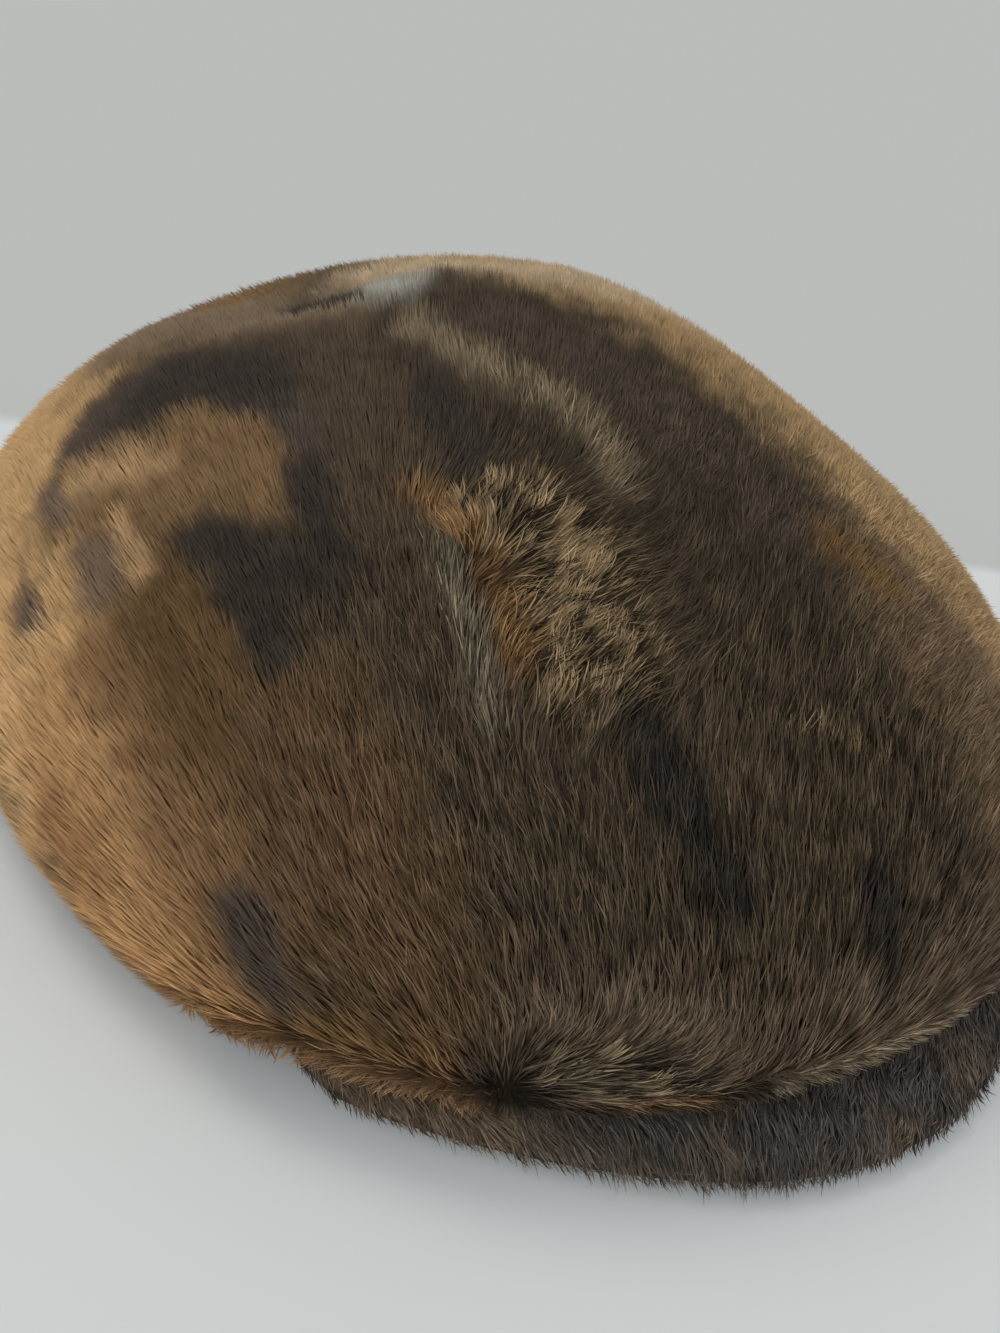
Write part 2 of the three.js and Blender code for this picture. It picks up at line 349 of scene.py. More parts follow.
# How the fur lies: place, bearing on the skin laid flat, and reach
COMBS = [
    # The front, where the fur runs up and back from the lip
    ((-40, -115, 38), 78, 30),
    ((-62, -108, 32), 84, 20),
    ((-74, -109, 21), 108, 16),
    ((-18, -125, 31), 88, 16),
    ((4, -119, 40), 76, 18),
    ((2, -133, 18), 64, 13),
    ((21, -130, 20), 38, 20),
    ((46, -95, 55), 30, 24),
    # The right side
    ((-93, -88, 17), 86, 18),
    ((-88, -84, 32), 84, 16),
    ((-100, -51, 36), 88, 26),
    ((-105, -20, 39), 88, 26),
    ((-82, -21, 66), 90, 26),
    ((-68, 22, 76), 82, 28),
    ((-68, -75, 52), 84, 24),
    # The top and the wearer's left
    ((-17, -15, 95), 66, 30),
    ((-35, -37, 85), 62, 16),
    ((-23, -59, 82), 46, 12),
    ((14, -35, 89), 58, 26),
    ((24, -51, 82), 50, 22),
    ((38, -72, 70), 32, 22),
    ((-13, -88, 67), 62, 15),
    ((-7, -102, 54), 62, 16),
    # The whorl and the crease beside it
    ((-41, -56, 74), 24, 8),
    ((-31, -69, 75), -18, 9),
    ((-43, -72, 66), -20, 8),
    ((-35, -80, 66), -16, 9),
    ((-26, -84, 67), 4, 8),
    ((-44, -84, 59), 4, 7),
    ((-37, -89, 60), 10, 8),
    ((-29, -90, 62), 26, 7),
    ((-44, -92, 55), 34, 7),
    ((-49, -62, 67), 78, 6),
    ((-52, -78, 59), 76, 6),
    ((-53, -89, 52), 74, 7),
    # The swirl along the lip
    ((-92, -91, 5), -58, 5),
    ((-86, -99, 6), -50, 6),
    ((-76, -108, 6), -44, 6),
    ((-66, -117, 7), -40, 5),
    ((-87, -96, 13), 92, 7),
    ((-78, -105, 14), 100, 6),
    ((-70, -112, 15), 100, 6),
    ((-63, -117, 17), 92, 5),
    ((-56, -122, 18), 12, 4),
    ((-52, -125, 15), -18, 4),
    ((-45, -127, 16), -12, 5),
    ((-36, -130, 15), 14, 6),
    # The unseen back and left
    ((0, 100, 60), 88, 45),
    ((0, 140, 25), 90, 40),
    ((-80, 80, 40), 112, 40),
    ((85, 80, 40), 55, 40),
    ((105, 10, 35), 20, 40),
    ((90, -80, 30), 0, 35),
]

# Where the fur is ruffled into tufts: how much, half width, and the line along the middle
RUFFLES = [
    (1.0, 9.5, ((-41, -63, 71), (-36, -76, 68), (-37, -89, 60))),
    (0.8, 4.5, ((-56, -122, 18), (-45, -126, 18), (-34, -129, 16))),
    (0.6, 2.5, ((-9, -101, 54), (1, -104, 52), (10, -108, 49))),
    (0.5, 4, ((-30, -40, 87), (-24, -56, 83))),
    (0.35, 4, ((-44, -92, 54), (-44, -104, 44))),
]

# Where fur lies along the lower edge, over the end of the peak
FRINGE = {"wide": 7, "line": ((-88, -97, 8), (-76, -108, 9), (-62, -118, 10))}

# The camera of the photo, which is 1000 by 1333 pixels, with angles in degrees and how near it still sees
PHOTO_HEIGHT_PX = 1333
FOCAL_PX = 986
SENSOR_HEIGHT = 36
CAMERA_PLACE = (-118.3, -186.7, 124.0)
LOOK_BEARING = 33.6
LOOK_DOWN = 28.62
CAMERA_ROLL = 11.9
NEAREST_SEEN = 10

# Wide soft lamps: name, direction they stand in, strength, spread in degrees and colour
LAMPS = [
    ("window", (-0.2, 0.55, 0.8), 0.5, 25, (1, 0.95, 0.88)),
    ("front", (-0.9, -0.9, 0.4), 1.25, 80, (0.9, 0.95, 1)),
]

# The pale table ends at this line, and what lies beyond it is grey
TABLE_EDGE = {"through": (256, 32), "bearing": -24, "blur": 12}

# Colours of the table and of what lies beyond it, as amounts of light, and how far the table reaches
TABLE_COLOUR = (0.85, 0.87, 0.88)
BEYOND_COLOUR = (0.658, 0.668, 0.661)
TABLE_REACH = 30000

# Light from all over the room: its colour from 0 to 255 and its strength
ROOM_COLOUR = (184, 186, 184)
ROOM_STRENGTH = 1.03

# What the materials set on their nodes: the fine noise over the coat's colour and how far it goes, and the
# grain, the bumps and the tones from 0 to 255 of the bare skin inside the cap
COAT_NOISE = {"Scale": 260, "Detail": 2}
COAT_NOISE_RANGE = {"From Min": 0.3, "From Max": 0.7, "To Min": 0.82, "To Max": 1.16}
COAT_SHINE = {"Roughness": 0.6, "Specular IOR Level": 0.1}
SUEDE_GRAIN = {"Scale": 420, "Detail": 6}
SUEDE_BUMP = {"Strength": 0.35, "Distance": 0.0006}
SUEDE_TONES = ((0.35, (92, 72, 54)), (0.65, (118, 95, 73)))
SUEDE_SHINE = {"Roughness": 0.85}
TABLE_SHINE = {"Roughness": 1, "Specular IOR Level": 0}


def linear(colour):
    """A colour from 0 to 255 as the eye sees it, as amounts of light, by the usual sRGB curve."""
    share = np.asarray(colour, float) / 255
    return np.where(share <= 0.04045, share / 12.92, ((share + 0.055) / 1.055) ** 2.4)


def smooth_step(none, full, value):
    """A soft step from 0 to 1, between the value that gives none and the value that gives all."""
    share = np.clip((value - none) / (full - none), 0, 1)
    return share * share * (3 - 2 * share)


def step(name, value):
    """How far a value has come along one of the soft steps of the table."""
    none, full = STEPS[name]
    return smooth_step(none, full, value)


def blend(start, end, share):
    """The start where the share is 0 and the end where it is 1."""
    return start + (end - start) * share


def varied(habit, state):
    """The plain value of a habit with what each state of the fur adds to it."""
    value, changes = habit
    for name, change in changes.items():
        value = value + change * state[name]
    return value


def scaled(value, changes, state):
    """A value with a share of itself added, or taken off, for each state of the fur."""
    for name, change in changes.items():
        value = value * (1 + change * state[name])
    return value


def unit(vectors):
    """The same directions with a length of 1."""
    return vectors / np.maximum(np.linalg.norm(vectors, axis=-1, keepdims=True), NO_LENGTH)


def on_skin(vectors, normals):
    """The vectors without what points off the skin."""
    return vectors - (vectors * normals).sum(-1, keepdims=True) * normals


def along_skin(normals, bearings):
    """Flat bearings in radians, rolled onto skin with these normals by the least turn from level."""
    flat = np.stack([np.cos(bearings), np.sin(bearings), np.zeros_like(bearings)], -1)
    axis = np.cross([0.0, 0.0, 1.0], normals)
    sine = np.linalg.norm(axis, axis=-1, keepdims=True)
    axis = axis / np.maximum(sine, NO_SINE)
    cosine = normals[..., 2:]
    along = (axis * flat).sum(-1, keepdims=True)
    return unit(flat * cosine + np.cross(axis, flat) * sine + axis * along * (1 - cosine))


def ripple(points, name):
    """One of the smooth noises at each point, as a sum of waves."""
    size, seed, amount = RIPPLES[name]
    rng = np.random.default_rng(seed)
    total = np.zeros(len(points))
    for _ in range(WAVES):
        heading = unit(rng.normal(size=3))
        wavelength = size * rng.uniform(*WAVE_LENGTHS)
        total += np.sin(points @ heading * (2 * math.pi / wavelength) + rng.uniform(0, 2 * math.pi))
    return amount * (total / math.sqrt(WAVES))


def cell_random(cells, salt):
    """A fixed random number from 0 to 1 for each cell of a grid."""
    mixed = cells @ np.array(CELL_FACTORS) + salt * SALT_FACTOR
    return np.modf(np.abs(np.sin(mixed) * SCRAMBLE))[0]


def tuft_of(points, spacing):
    """The nearest of scattered tuft centres to each point, and a random number of that tuft."""
    home = np.floor(points / spacing)
    best = np.full(len(points), np.inf)
    centre = np.zeros_like(points)
    chance = np.zeros(len(points))
    for corner in np.ndindex(3, 3, 3):
        cell = home + np.array(corner) - 1
        place = np.stack([cell_random(cell, salt) for salt in PLACE_SALTS], -1)
        place = (cell + place) * spacing
        distance = ((place - points) ** 2).sum(-1)
        closer = distance < best
        best[closer] = distance[closer]
        centre[closer] = place[closer]
        chance[closer] = cell_random(cell[closer], CHANCE_SALT)
    return centre, chance


def line_distance(points, line):
    """How far each point is from a line of straight stretches."""
    line = np.array(line, float)
    nearest = np.full(len(points), np.inf)
    for start, end in zip(line[:-1], line[1:]):
        stretch = end - start
        share = np.clip((points - start) @ stretch / (stretch @ stretch), 0, 1)
        away = points - start - share[:, None] * stretch
        nearest = np.minimum(nearest, np.linalg.norm(away, axis=1))
    return nearest


def mesh_arrays(node):
    """A node's corners in millimetres with equal ones joined, its triangles and its smooth normals."""
    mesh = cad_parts[node].data
    points = np.empty(len(mesh.vertices) * 3)
    mesh.vertices.foreach_get("co", points)
    points = points.reshape(-1, 3) / MM
    mesh.calc_loop_triangles()
    triangles = np.empty(len(mesh.loop_triangles) * 3, np.int64)
    mesh.loop_triangles.foreach_get("vertices", triangles)
    _, first, same = np.unique(np.round(points, SAME_DIGITS), axis=0, return_index=True, return_inverse=True)
    points = points[first]
    triangles = same.reshape(-1)[triangles].reshape(-1, 3)
    a, b, c = (points[triangles[:, corner]] for corner in range(3))
    facing = np.cross(b - a, c - a)
    normals = np.zeros_like(points)
    for corner in range(3):
        np.add.at(normals, triangles[:, corner], facing)
    return points, triangles, unit(normals)


def drawn_in(points, normals, furry, pile):
    """Skin below the fur, and no lower than the table."""
    points = points - normals * (pile * furry)[:, None]
    points[:, 2] = np.maximum(points[:, 2], 0)
    return points


def crown_skin():
    """The crown's skin: its outside drawn in by the pile, its inside and hem as packed."""
    points, triangles, normals = mesh_arrays("crown")
    outward = (normals * (points - HEART)).sum(-1) > 0
    furry = np.where(outward, step("furry crown", normals[:, 2]), 0.0)
    return drawn_in(points, normals, furry, PILE["crown"]), triangles, normals, furry


def peak_skin():
    """The peak's skin: its top and edge drawn in by the pile, its underside as packed."""
    points, triangles, normals = mesh_arrays("peak")
    furry = step("furry peak", normals[:, 2])
    return drawn_in(points, normals, furry, PILE["peak"]), triangles, normals, furry


def scatter(rng, skin, count, density):
    """Random roots on the furry part of a skin, with their normals and the pile's share there."""
    points, triangles, normals, furry = skin
    a, b, c = (points[triangles[:, corner]] for corner in range(3))
    area = np.linalg.norm(np.cross(b - a, c - a), axis=1)
    middle = (a + b + c) / 3
    chance = area * np.minimum(2 * furry[triangles].mean(1), 1) * density(middle)
    chosen = np.searchsorted(np.cumsum(chance), rng.uniform(0, chance.sum(), count))
    u, v = rng.uniform(size=(2, count))
    over = u + v > 1
    u[over], v[over] = 1 - u[over], 1 - v[over]
    shares = np.stack([1 - u - v, u, v], -1)[..., None]
    corners = triangles[chosen]
    depth = (furry[corners] * shares[..., 0]).sum(1)
    return (points[corners] * shares).sum(1), unit((normals[corners] * shares).sum(1)), depth


def lay_of(points, normals):
    """Which way the crown's fur lies at each point, as a direction along the skin."""
    flat = np.zeros((len(points), 2))
    for place, bearing, reach in COMBS:
        distance = np.linalg.norm(points - place, axis=1)
        weight = np.exp(-(distance / reach) ** 2) / reach + FAR_COMB / (1 + distance ** 2)
        turn = math.radians(bearing)
        flat += weight[:, None] * (math.cos(turn), math.sin(turn))
    return along_skin(normals, np.arctan2(flat[:, 1], flat[:, 0]))


def ruffle_of(points):
    """How much the fur is ruffled at each point, from 0 to 1."""
    total = np.zeros(len(points))
    for amount, wide, line in RUFFLES:
        total += amount * step("ruffled", line_distance(points, line) / wide)
    return np.minimum(total, 1)


def fine_side(points):
    """1 where the strands are set closer and thinner, at the front and the right, falling to 0."""
    return step("fine from the back", points[:, 1]) * step("fine from the left", points[:, 0])


def crown_density(points):
    """How closely the crown's strands are set, from the least to 1."""
    return blend(CROWN_FUR["least density"], 1, fine_side(points))


def peak_density(points):
    """1 on the part of the peak that shows, and little on the part under the crown's lip."""
    return step("peak shown", np.hypot(points[:, 0], points[:, 1])) + PEAK_FUR["hidden density"]


def crown_tones(points):
    """The dark and the light tone of the fur at each point of the crown."""
    tones = np.tile(linear(TONES["brown"]), (len(points), 1, 1))
    wobble = ripple(points, "patch edges") + ripple(points, "fine patch edges")
    warmth = step("warm", ripple(points, "warmth"))[:, None, None]
    tones = blend(tones, linear(TONES["warm brown"]), WARMEST * warmth)
    for tone, wide, soft, line in PATCHES:
        reach = line_distance(points, line) / wide + wobble
        weight = smooth_step(1 + soft, 1 - soft, reach)[:, None, None]
        tones = blend(tones, linear(TONES[tone]), weight)
    return tones[:, 0], tones[:, 1]


def peak_tones(points, near_rim=0):
    """The dark and the light tone of the peak's fur, browner at the rim and the wearer's right."""
    patches = ripple(points, "peak patches") + ripple(points, "fine peak patches")
    state = {
        "patches": step("peak patches", patches),
        "right end": step("peak right end", points[:, 0]),
        "near rim": near_rim,
    }
    tan = np.clip(varied(PEAK_HABITS["tan"], state), 0, 1)[:, None]
    dark, light = linear(TONES["peak black"])
    tan_dark, tan_light = linear(TONES["peak tan"])
    return blend(dark, tan_dark, tan), blend(light, tan_light, tan)


def placed(name, data):
    """A new object of the scene that holds this mesh, lamp or lens."""
    piece = bpy.data.objects.new(name, data)
    bpy.context.collection.objects.link(piece)
    return piece


def paint(mesh, colours):
    """Gives each corner point of a mesh its colour of the coat."""
    coat = mesh.color_attributes.new(name="coat", type="FLOAT_COLOR", domain="POINT")
    rgba = np.ones((len(colours), 4), np.float32)
    rgba[:, :3] = np.clip(colours, 0, 1)
    coat.data.foreach_set("color", rgba.ravel())


def skin_piece(name, skin, roots):
    """A skin mesh that holds the colour of the roots above it at each corner point."""
    points, triangles, _, furry = skin
    mesh = bpy.data.meshes.new(name)
    mesh.from_pydata((points * MM).tolist(), [], triangles.tolist())
    mesh.shade_smooth()
    under_fur = furry[triangles].max(1) > LEAST_FURRY
    mesh.polygons.foreach_set("material_index", under_fur.astype(np.int32))
    paint(mesh, roots * ROOT_GAIN)
    mesh.update()
    return placed(name, mesh)


def strand_spines(strands, sections):
    """The points along the middle of each strand, which curls and bends to the middle of its tuft."""
    lay, normal = strands["lay"], strands["normal"]
    side = np.cross(normal, lay)
    stride = (strands["length"] / sections)[:, None]
    spine = [strands["root"]]
    for section in range(sections):
        share = (section + 0.5) / sections
        lift = blend(strands["tip_lift"], strands["root_lift"], (1 - share) ** LIFT_POWER)
        turn = strands["curl"] * (share - CURL_MIDDLE)
        heading = lay * np.cos(turn)[:, None] + side * np.sin(turn)[:, None]
        move = heading * np.cos(lift)[:, None] + normal * np.sin(lift)[:, None]
        spine.append(spine[-1] + move * stride)
    shares = np.linspace(0, 1, sections + 1)
    return np.stack(spine, 1) + strands["pull"][:, None] * shares[None, :, None] ** PULL_POWER


def strand_points(strands, sections):
    """The corner points of each strand: a left and a right one where each section starts, and the tip."""
    spine = strand_spines(strands, sections)
    tangent = unit(spine[:, -1] - spine[:, 0])
    flank = unit(np.cross(tangent, strands["normal"]))
    roll = strands["roll"][:, None]
    flank = flank * np.cos(roll) + np.cross(flank, tangent) * np.sin(roll)
    half = strands["width"][:, None] / 2 * np.array(TAPER)[None, :sections]
    across = flank[:, None] * half[..., None]
    points = np.empty((len(spine), 2 * sections + 1, 3))
    points[:, 0:-1:2] = spine[:, :-1] - across
    points[:, 1:-1:2] = spine[:, :-1] + across
    points[:, -1] = spine[:, -1]
    points[..., 2] = np.maximum(points[..., 2], TABLE_GAP)
    return points


def strand_colours(strands, sections):
    """The colour at each corner point of the strands, dark at the root and lightest at the tip."""
    shares = np.linspace(0, 1, sections + 1)
    shares = np.append(np.repeat(shares[:-1], 2), 1.0)
    glow = np.interp(shares, (0, 0.5, 1), (0, 1, 1 + TIP_GLOW))
    root_shade = strands["root_shade"][:, None]
    glow = root_shade + (1 - root_shade) * glow
    return strands["colour"][:, None] * glow[..., None]


def strand_faces(count, sections):
    """The corners of all faces in a row, three at the tip and else four, and where each face starts."""
    corners = []
    for near in range(0, 2 * sections - 2, 2):
        corners += [near, near + 1, near + 3, near + 2]
    last = 2 * sections - 2
    corners += [last, last + 1, last + 2]
    strand = np.arange(count)[:, None]
    index = strand * (2 * sections + 1) + np.array(corners)
    starts = strand * len(corners) + 4 * np.arange(sections)
    return index.ravel(), starts.ravel()


def strands_mesh(name, strands, sections):
    """Flat tapered strands, joined into one mesh with a colour and a shading normal at each corner point."""
    points = strand_points(strands, sections)
    index, starts = strand_faces(len(points), sections)
    mesh = bpy.data.meshes.new(name)
    mesh.vertices.add(points.shape[0] * points.shape[1])
    mesh.vertices.foreach_set("co", (points * MM).astype(np.float32).ravel())
    mesh.loops.add(len(index))
    mesh.loops.foreach_set("vertex_index", index.astype(np.int32))
    mesh.polygons.add(len(starts))
    mesh.polygons.foreach_set("loop_start", starts.astype(np.int32))
    mesh.update(calc_edges=True)
    paint(mesh, strand_colours(strands, sections).reshape(-1, 3))
    pile = mesh.attributes.new(name="pile", type="FLOAT_VECTOR", domain="POINT")
    facing = np.repeat(strands["shading"], points.shape[1], axis=0)
    pile.data.foreach_set("vector", facing.astype(np.float32).ravel())
    return placed(name, mesh)


def lit_normal(normals):
    """Which way a strand faces for the light: with its skin, and where the skin turns under, upward."""
    raised = LIT_FROM_ABOVE * step("lit from above", normals[:, 2:])
    return unit(normals + raised * (0, 0, 1))


def crown_state(root, normal):
    """How the crown's fur is at each root, from 0 to 1 for each word."""
    fringe = step("fringe", line_distance(root, FRINGE["line"]) / FRINGE["wide"])
    crisp = step("crisp", np.linalg.norm(root - CRISP_PLACE, axis=1))
    return {
        "fringe": fringe,
        "under": step("under", normal[:, 2]) * (1 - fringe),
        "turned in": step("turned in", normal[:, 2]),
        "fine": fine_side(root),
        "crisp": crisp,
        "soft": 1 - crisp,
    }


def crown_shade(rng, root, chance, state):
    """How light each strand of the crown is between the dark and the light tone of its place."""
    darkness = varied(CROWN_HABITS["darkness"], state)
    contrast = varied(CROWN_HABITS["contrast"], state)
    shade = rng.uniform(size=len(root)) ** darkness * CROWN_FUR["strand shade"]
    shade = shade + CROWN_FUR["tuft shade"] * chance + ripple(root, "crown shade")
    shade += state["ruffled"] * (chance - 0.5) * CROWN_FUR["ruffled shade"]
    middle = CROWN_FUR["middle shade"]
    return np.clip(middle + (shade - middle) * contrast, 0, CROWN_FUR["lightest"])


def crown_colour(rng, root, shown, chance, state):
    """The colour of each strand of the crown, by the tones where it is seen, with painted shade on the bed
    under the tufts and painted light on lofty soft fur and where the fur turns under.
    """
    dark, light = crown_tones(shown)
    colour = blend(dark, light, crown_shade(rng, root, chance, state)[:, None])
    return colour * scaled(FUR_GAIN, CROWN_PAINTED_LIGHT_AND_SHADE, state)[:, None]


def crown_strands(skin, coat, density):
    """All that strands_mesh needs for one coat of the crown."""
    rng = np.random.default_rng(coat["seed"])
    count = coat["strands"]
    root, normal, depth = scatter(rng, skin, count, density)
    lay = lay_of(root + lay_of(root, normal) * coat["length"] / 2, normal)
    state = crown_state(root, normal)
    length = coat["length"] * blend(CROWN_FUR["least length"], 1, depth)
    length = scaled(length, CROWN_LENGTHENS, state)
    above = PILE["crown"] * CROWN_FUR["seen above"] * depth
    shown = root + lay * (length * CROWN_FUR["seen along"])[:, None] + normal * above[:, None]
    ruffle = ruffle_of(shown)
    state["bed"] = ruffle * (0 if coat["standing"] else 1)
    state["ruffled"] = ruffle - state["bed"]
    centre, chance = tuft_of(root, coat["tufts"])
    side = np.cross(normal, lay)
    stray = rng.normal(0, CROWN_FUR["stray"], count) * varied(CROWN_HABITS["stray"], state)
    stray += ripple(root, "crown stray")
    stray += (chance - 0.5) * CROWN_FUR["tuft stray"] * state["ruffled"]
    colour = crown_colour(rng, root, shown, chance, state)
    roll = rng.normal(0, 1, count) * varied(CROWN_HABITS["roll"], state)
    root_lift = varied(CROWN_HABITS["root lift"], state) + rng.normal(0, CROWN_FUR["lift"], count)
    tip_lift = varied(CROWN_HABITS["tip lift"], state) + rng.normal(0, CROWN_FUR["lift"], count)
    length = length * rng.uniform(*CROWN_FUR["lengths"], count)
    curl = rng.normal(0, CROWN_FUR["curl"], count)
    curl += CROWN_FUR["tuft curl"] * state["ruffled"] * (chance - CROWN_FUR["straight tuft"])
    width = coat["width"] * rng.uniform(*CROWN_FUR["widths"], count)
    width = width * blend(CROWN_FUR["greatest width"], 1, state["fine"])
    return {
        "root": root,
        "normal": normal,
        "lay": unit(lay + side * np.tan(stray)[:, None]),
        "length": length,
        "root_lift": np.radians(root_lift),
        "tip_lift": np.radians(tip_lift),
        "curl": curl,
        "pull": on_skin(centre - root, normal) * varied(CROWN_HABITS["pull"], state)[:, None],
        "roll": roll,
        "shading": lit_normal(normal + side * roll[:, None]),
        "width": width * (1 + CROWN_FUR["soft width"] * state["soft"] * state["fine"]),
        "root_shade": varied(CROWN_HABITS["root shade"], state),
        "colour": colour,
    }


def crown_fur(skin):
    """The crown's lying fur, as pieces side by side round the cap."""
    coat = COATS["crown_fur"]
    strands = crown_strands(skin, coat, crown_density)
    bearing = np.arctan2(strands["root"][:, 1], strands["root"][:, 0])
    order = np.argsort(bearing, kind="stable")
    pieces = []
    for number, chosen in enumerate(np.array_split(order, CROWN_PIECES), 1):
        part = {key: values[chosen] for key, values in strands.items()}
        pieces.append(strands_mesh(f"crown_fur_{number}", part, coat["sections"]))
    return pieces


def crown_tufts(skin):
    """Strands that stand up where the crown's fur is ruffled."""
    coat = COATS["crown_tufts"]
    return strands_mesh("crown_tufts", crown_strands(skin, coat, ruffle_of), coat["sections"])


def rim_distance(skin, points):
    """How far each point is from the nearest corner of the skin that faces aside or down."""
    corners, _, normals, _ = skin
    corners = corners[normals[:, 2] < RIM_NORMAL]
    rim = KDTree(len(corners))
    for number, corner in enumerate(corners):
        rim.insert(corner, number)
    rim.balance()
    return np.array([rim.find(point)[2] for point in points])


def peak_lay(root, normal, state):
    """Which way the peak's fur lies: with the nap, outward at its right end, and out and down at the edge."""
    outward = root - HEART
    outward[:, 2] = 0
    nap = np.radians(blend(*PEAK_NAP, step("peak nap", root[:, 0])))
    nap = np.stack([np.cos(nap), np.sin(nap), np.zeros(len(root))], -1)
    lay = nap + unit(outward) * varied(PEAK_HABITS["outward"], state)[:, None]
    lay[:, 2] -= PEAK_LEAN * state["edge"]
    return unit(on_skin(lay, normal))


def peak_strands(skin, coat):
    """All that strands_mesh needs for the peak's coat, which is shorter and darker at the rim."""
    count = coat["strands"]
    rng = np.random.default_rng(coat["seed"])
    root, normal, _ = scatter(rng, skin, count, peak_density)
    state = {
        "edge": step("peak edge", normal[:, 2]),
        "near rim": step("peak near rim", rim_distance(skin, root)),
        "right end": step("peak right end", root[:, 0]),
    }
    lay = peak_lay(root, normal, state)
    side = np.cross(normal, lay)
    centre, chance = tuft_of(root, coat["tufts"])
    stray = rng.normal(0, PEAK_FUR["stray"], count) + ripple(root, "peak stray")
    stray += (chance - 0.5) * PEAK_FUR["tuft stray"]
    stray = np.clip(stray, -PEAK_FUR["most stray"], PEAK_FUR["most stray"])
    dark, light = peak_tones(root, state["near rim"])
    shade = rng.uniform(size=count) ** PEAK_FUR["darkness"] + PEAK_FUR["tuft shade"] * (chance - 0.5)
    colour = blend(dark, light, np.clip(shade, 0, PEAK_FUR["lightest"])[:, None])
    roll = rng.normal(0, PEAK_FUR["roll"], count)
    length = rng.uniform(*PEAK_FUR["lengths"], count)
    return {
        "root": root,
        "normal": normal,
        "lay": unit(lay + side * np.tan(stray)[:, None]),
        "length": scaled(length, PEAK_LENGTHENS, state),
        "root_lift": np.radians(rng.normal(*PEAK_FUR["root lift"], count)),
        "tip_lift": np.radians(rng.normal(*PEAK_FUR["tip lift"], count)),
        "curl": rng.normal(0, PEAK_FUR["curl"], count),
        "pull": on_skin(centre - root, normal) * varied(PEAK_HABITS["pull"], state)[:, None],
        "roll": roll,
        "shading": lit_normal(normal + side * roll[:, None]),
        "width": rng.uniform(*PEAK_FUR["widths"], count),
        "root_shade": varied(PEAK_HABITS["root shade"], state),
        "colour": colour * scaled(FUR_GAIN, PEAK_LIGHTENS, state)[:, None],
    }


def peak_fur(skin):
    """The peak's fur, as one piece."""
    coat = COATS["peak_fur"]
    return strands_mesh("peak_fur", peak_strands(skin, coat), coat["sections"])


def new_material(name):
    """A material with its node tree and its main shader."""
    material = bpy.data.materials.new(name)
    material.use_nodes = True
    tree = material.node_tree
    return material, tree, tree.nodes["Principled BSDF"]


def set_sockets(node, values):
    """Sets a node's own sockets, by their names."""
    for name, value in values.items():
        node.inputs[name].default_value = value


def object_noise(tree, values):
    """A noise that is fixed to the object."""
    place = tree.nodes.new("ShaderNodeTexCoord")
    noise = tree.nodes.new("ShaderNodeTexNoise")
    set_sockets(noise, values)
    tree.links.new(place.outputs["Object"], noise.inputs["Vector"])
    return noise.outputs["Fac"]


def coat_material(name):
    """The colour of the coat at each corner point, broken up by fine noise."""
    material, tree, shader = new_material(name)
    coat = tree.nodes.new("ShaderNodeAttribute")
    coat.attribute_name = "coat"
    spread = tree.nodes.new("ShaderNodeMapRange")
    set_sockets(spread, COAT_NOISE_RANGE)
    broken = tree.nodes.new("ShaderNodeVectorMath")
    broken.operation = "SCALE"
    tree.links.new(object_noise(tree, COAT_NOISE), spread.inputs["Value"])
    tree.links.new(coat.outputs["Color"], broken.inputs[0])
    tree.links.new(spread.outputs["Result"], broken.inputs["Scale"])
    tree.links.new(broken.outputs["Vector"], shader.inputs["Base Color"])
    set_sockets(shader, COAT_SHINE)
    return material, tree, shader


def fur_material():
    """Fur, which faces the light as the pile does, and lets some light through."""
    material, tree, shader = coat_material("fur")
    through = tree.nodes.new("ShaderNodeBsdfTranslucent")
    both = tree.nodes.new("ShaderNodeMixShader")
    both.inputs["Fac"].default_value = LIGHT_THROUGH
    output = tree.nodes["Material Output"]
    tree.links.new(shader.inputs["Base Color"].links[0].from_socket, through.inputs["Color"])
    tree.links.new(shader.outputs["BSDF"], both.inputs[1])
    tree.links.new(through.outputs["BSDF"], both.inputs[2])
    tree.links.new(both.outputs["Shader"], output.inputs["Surface"])
    pile = tree.nodes.new("ShaderNodeAttribute")
    pile.attribute_name = "pile"
    tree.links.new(pile.outputs["Vector"], shader.inputs["Normal"])
    return material


def suede_material():
    """Plain bare skin with a fine grain, on the side of the skins that has no fur."""
    material, tree, shader = new_material("suede")
    grain = object_noise(tree, SUEDE_GRAIN)
    ramp = tree.nodes.new("ShaderNodeValToRGB")
    for stop, (position, tone) in zip(ramp.color_ramp.elements, SUEDE_TONES):
        stop.position = position
        stop.color = (*linear(tone), 1)
    bump = tree.nodes.new("ShaderNodeBump")
    set_sockets(bump, SUEDE_BUMP)
    tree.links.new(grain, ramp.inputs["Fac"])
    tree.links.new(grain, bump.inputs["Height"])
    tree.links.new(ramp.outputs["Color"], shader.inputs["Base Color"])
    tree.links.new(bump.outputs["Normal"], shader.inputs["Normal"])
    set_sockets(shader, SUEDE_SHINE)
    return material


def build_cap():
    """All that is seen of the cap, riding on its only body."""
    fur = fur_material()
    suede = suede_material()
    under_fur = coat_material("under_fur")[0]
    crown, peak = crown_skin(), peak_skin()
    skins = {
        "crown": skin_piece("crown_skin", crown, crown_tones(crown[0])[0]),
        "peak": skin_piece("peak_skin", peak, peak_tones(peak[0])[0]),
    }
    for node, piece in skins.items():
        piece.data.materials.append(suede)
        piece.data.materials.append(under_fur)
        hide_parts(node)
    furs = {
        "crown": [*crown_fur(crown), crown_tufts(crown)],
        "peak": [peak_fur(peak)],
    }
    for node, pieces in furs.items():
        for piece in pieces:
            piece.data.materials.append(fur)
        for piece in [skins[node], *pieces]:
            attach(piece, "root")


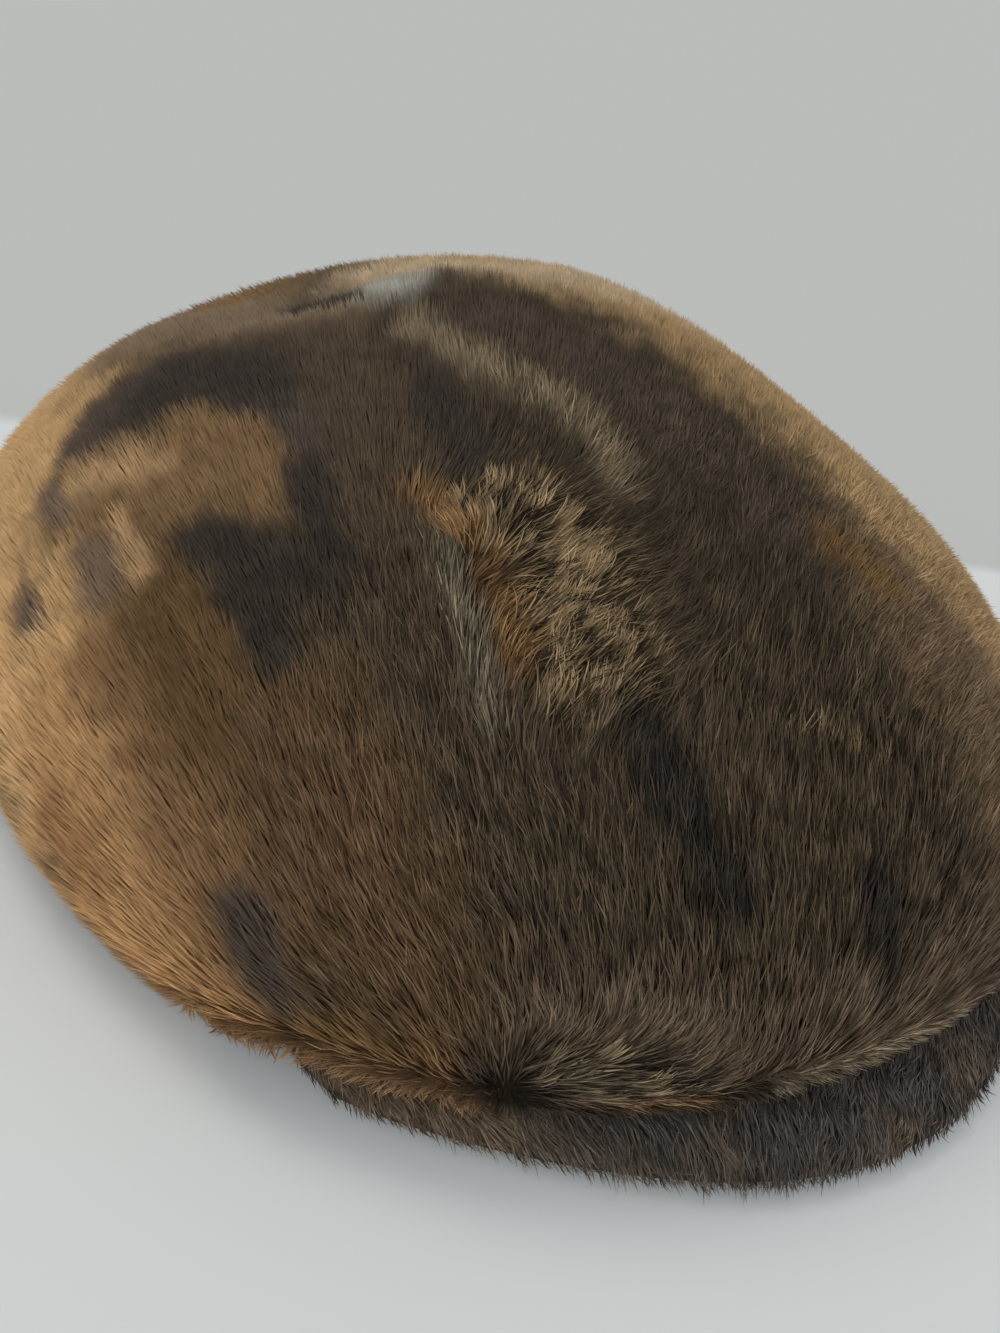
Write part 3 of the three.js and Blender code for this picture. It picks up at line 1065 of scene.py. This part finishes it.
def table_material():
    """The pale table's colour, which turns grey beyond its back edge."""
    material, tree, shader = new_material("table")
    turn = math.radians(TABLE_EDGE["bearing"])
    beyond = Vector((-math.sin(turn), math.cos(turn), 0))
    start = Vector((*TABLE_EDGE["through"], 0)).dot(beyond) * MM
    place = tree.nodes.new("ShaderNodeTexCoord")
    depth = tree.nodes.new("ShaderNodeVectorMath")
    depth.operation = "DOT_PRODUCT"
    depth.inputs[1].default_value = beyond
    edge = tree.nodes.new("ShaderNodeMapRange")
    set_sockets(edge, {"From Min": start, "From Max": start + TABLE_EDGE["blur"] * MM})
    ramp = tree.nodes.new("ShaderNodeValToRGB")
    for stop, colour in zip(ramp.color_ramp.elements, (TABLE_COLOUR, BEYOND_COLOUR)):
        stop.color = (*colour, 1)
    tree.links.new(place.outputs["Object"], depth.inputs[0])
    tree.links.new(depth.outputs["Value"], edge.inputs["Value"])
    tree.links.new(edge.outputs["Result"], ramp.inputs["Fac"])
    tree.links.new(ramp.outputs["Color"], shader.inputs["Base Color"])
    set_sockets(shader, TABLE_SHINE)
    return material


def build_table():
    """A pale table top under the cap, as a stage."""
    reach = TABLE_REACH * MM
    corners = [(-reach, -reach, 0), (reach, -reach, 0), (reach, reach, 0), (-reach, reach, 0)]
    mesh = bpy.data.meshes.new("table")
    mesh.from_pydata(corners, [], [(0, 1, 2, 3)])
    mesh.materials.append(table_material())
    placed("table", mesh)


def build_light():
    """Soft light from all over the room, a faint lamp above and behind, and a low one at the right front."""
    world = bpy.data.worlds.new("room")
    world.use_nodes = True
    room = {"Color": (*linear(ROOM_COLOUR), 1), "Strength": ROOM_STRENGTH}
    set_sockets(world.node_tree.nodes["Background"], room)
    bpy.context.scene.world = world
    for name, place, energy, spread, colour in LAMPS:
        lamp = bpy.data.lights.new(name, "SUN")
        lamp.energy = energy
        lamp.angle = math.radians(spread)
        lamp.color = colour
        placed(name, lamp).rotation_euler = Vector(place).to_track_quat("Z", "Y").to_euler()


def build_camera():
    """The photo's camera, which looks down at the cap and is rolled a little."""
    bearing, down, roll = (math.radians(angle) for angle in (LOOK_BEARING, LOOK_DOWN, CAMERA_ROLL))
    ahead = Vector((
        math.sin(bearing) * math.cos(down),
        math.cos(bearing) * math.cos(down),
        -math.sin(down),
    ))
    level = Vector((math.cos(bearing), -math.sin(bearing), 0))
    above = level.cross(ahead)
    right = level * math.cos(roll) + above * math.sin(roll)
    up = right.cross(ahead)
    lens = bpy.data.cameras.new("camera")
    lens.sensor_fit = "VERTICAL"
    lens.sensor_height = SENSOR_HEIGHT
    lens.lens = FOCAL_PX / PHOTO_HEIGHT_PX * SENSOR_HEIGHT
    lens.clip_start = NEAREST_SEEN * MM
    camera = placed("camera", lens)
    turned = Matrix((right, up, -ahead)).transposed().to_4x4()
    camera.matrix_world = Matrix.Translation(Vector(CAMERA_PLACE) * MM) @ turned
    bpy.context.scene.camera = camera


build_cap()
build_table()
build_light()
build_camera()
bpy.context.scene.view_settings.view_transform = "Standard"
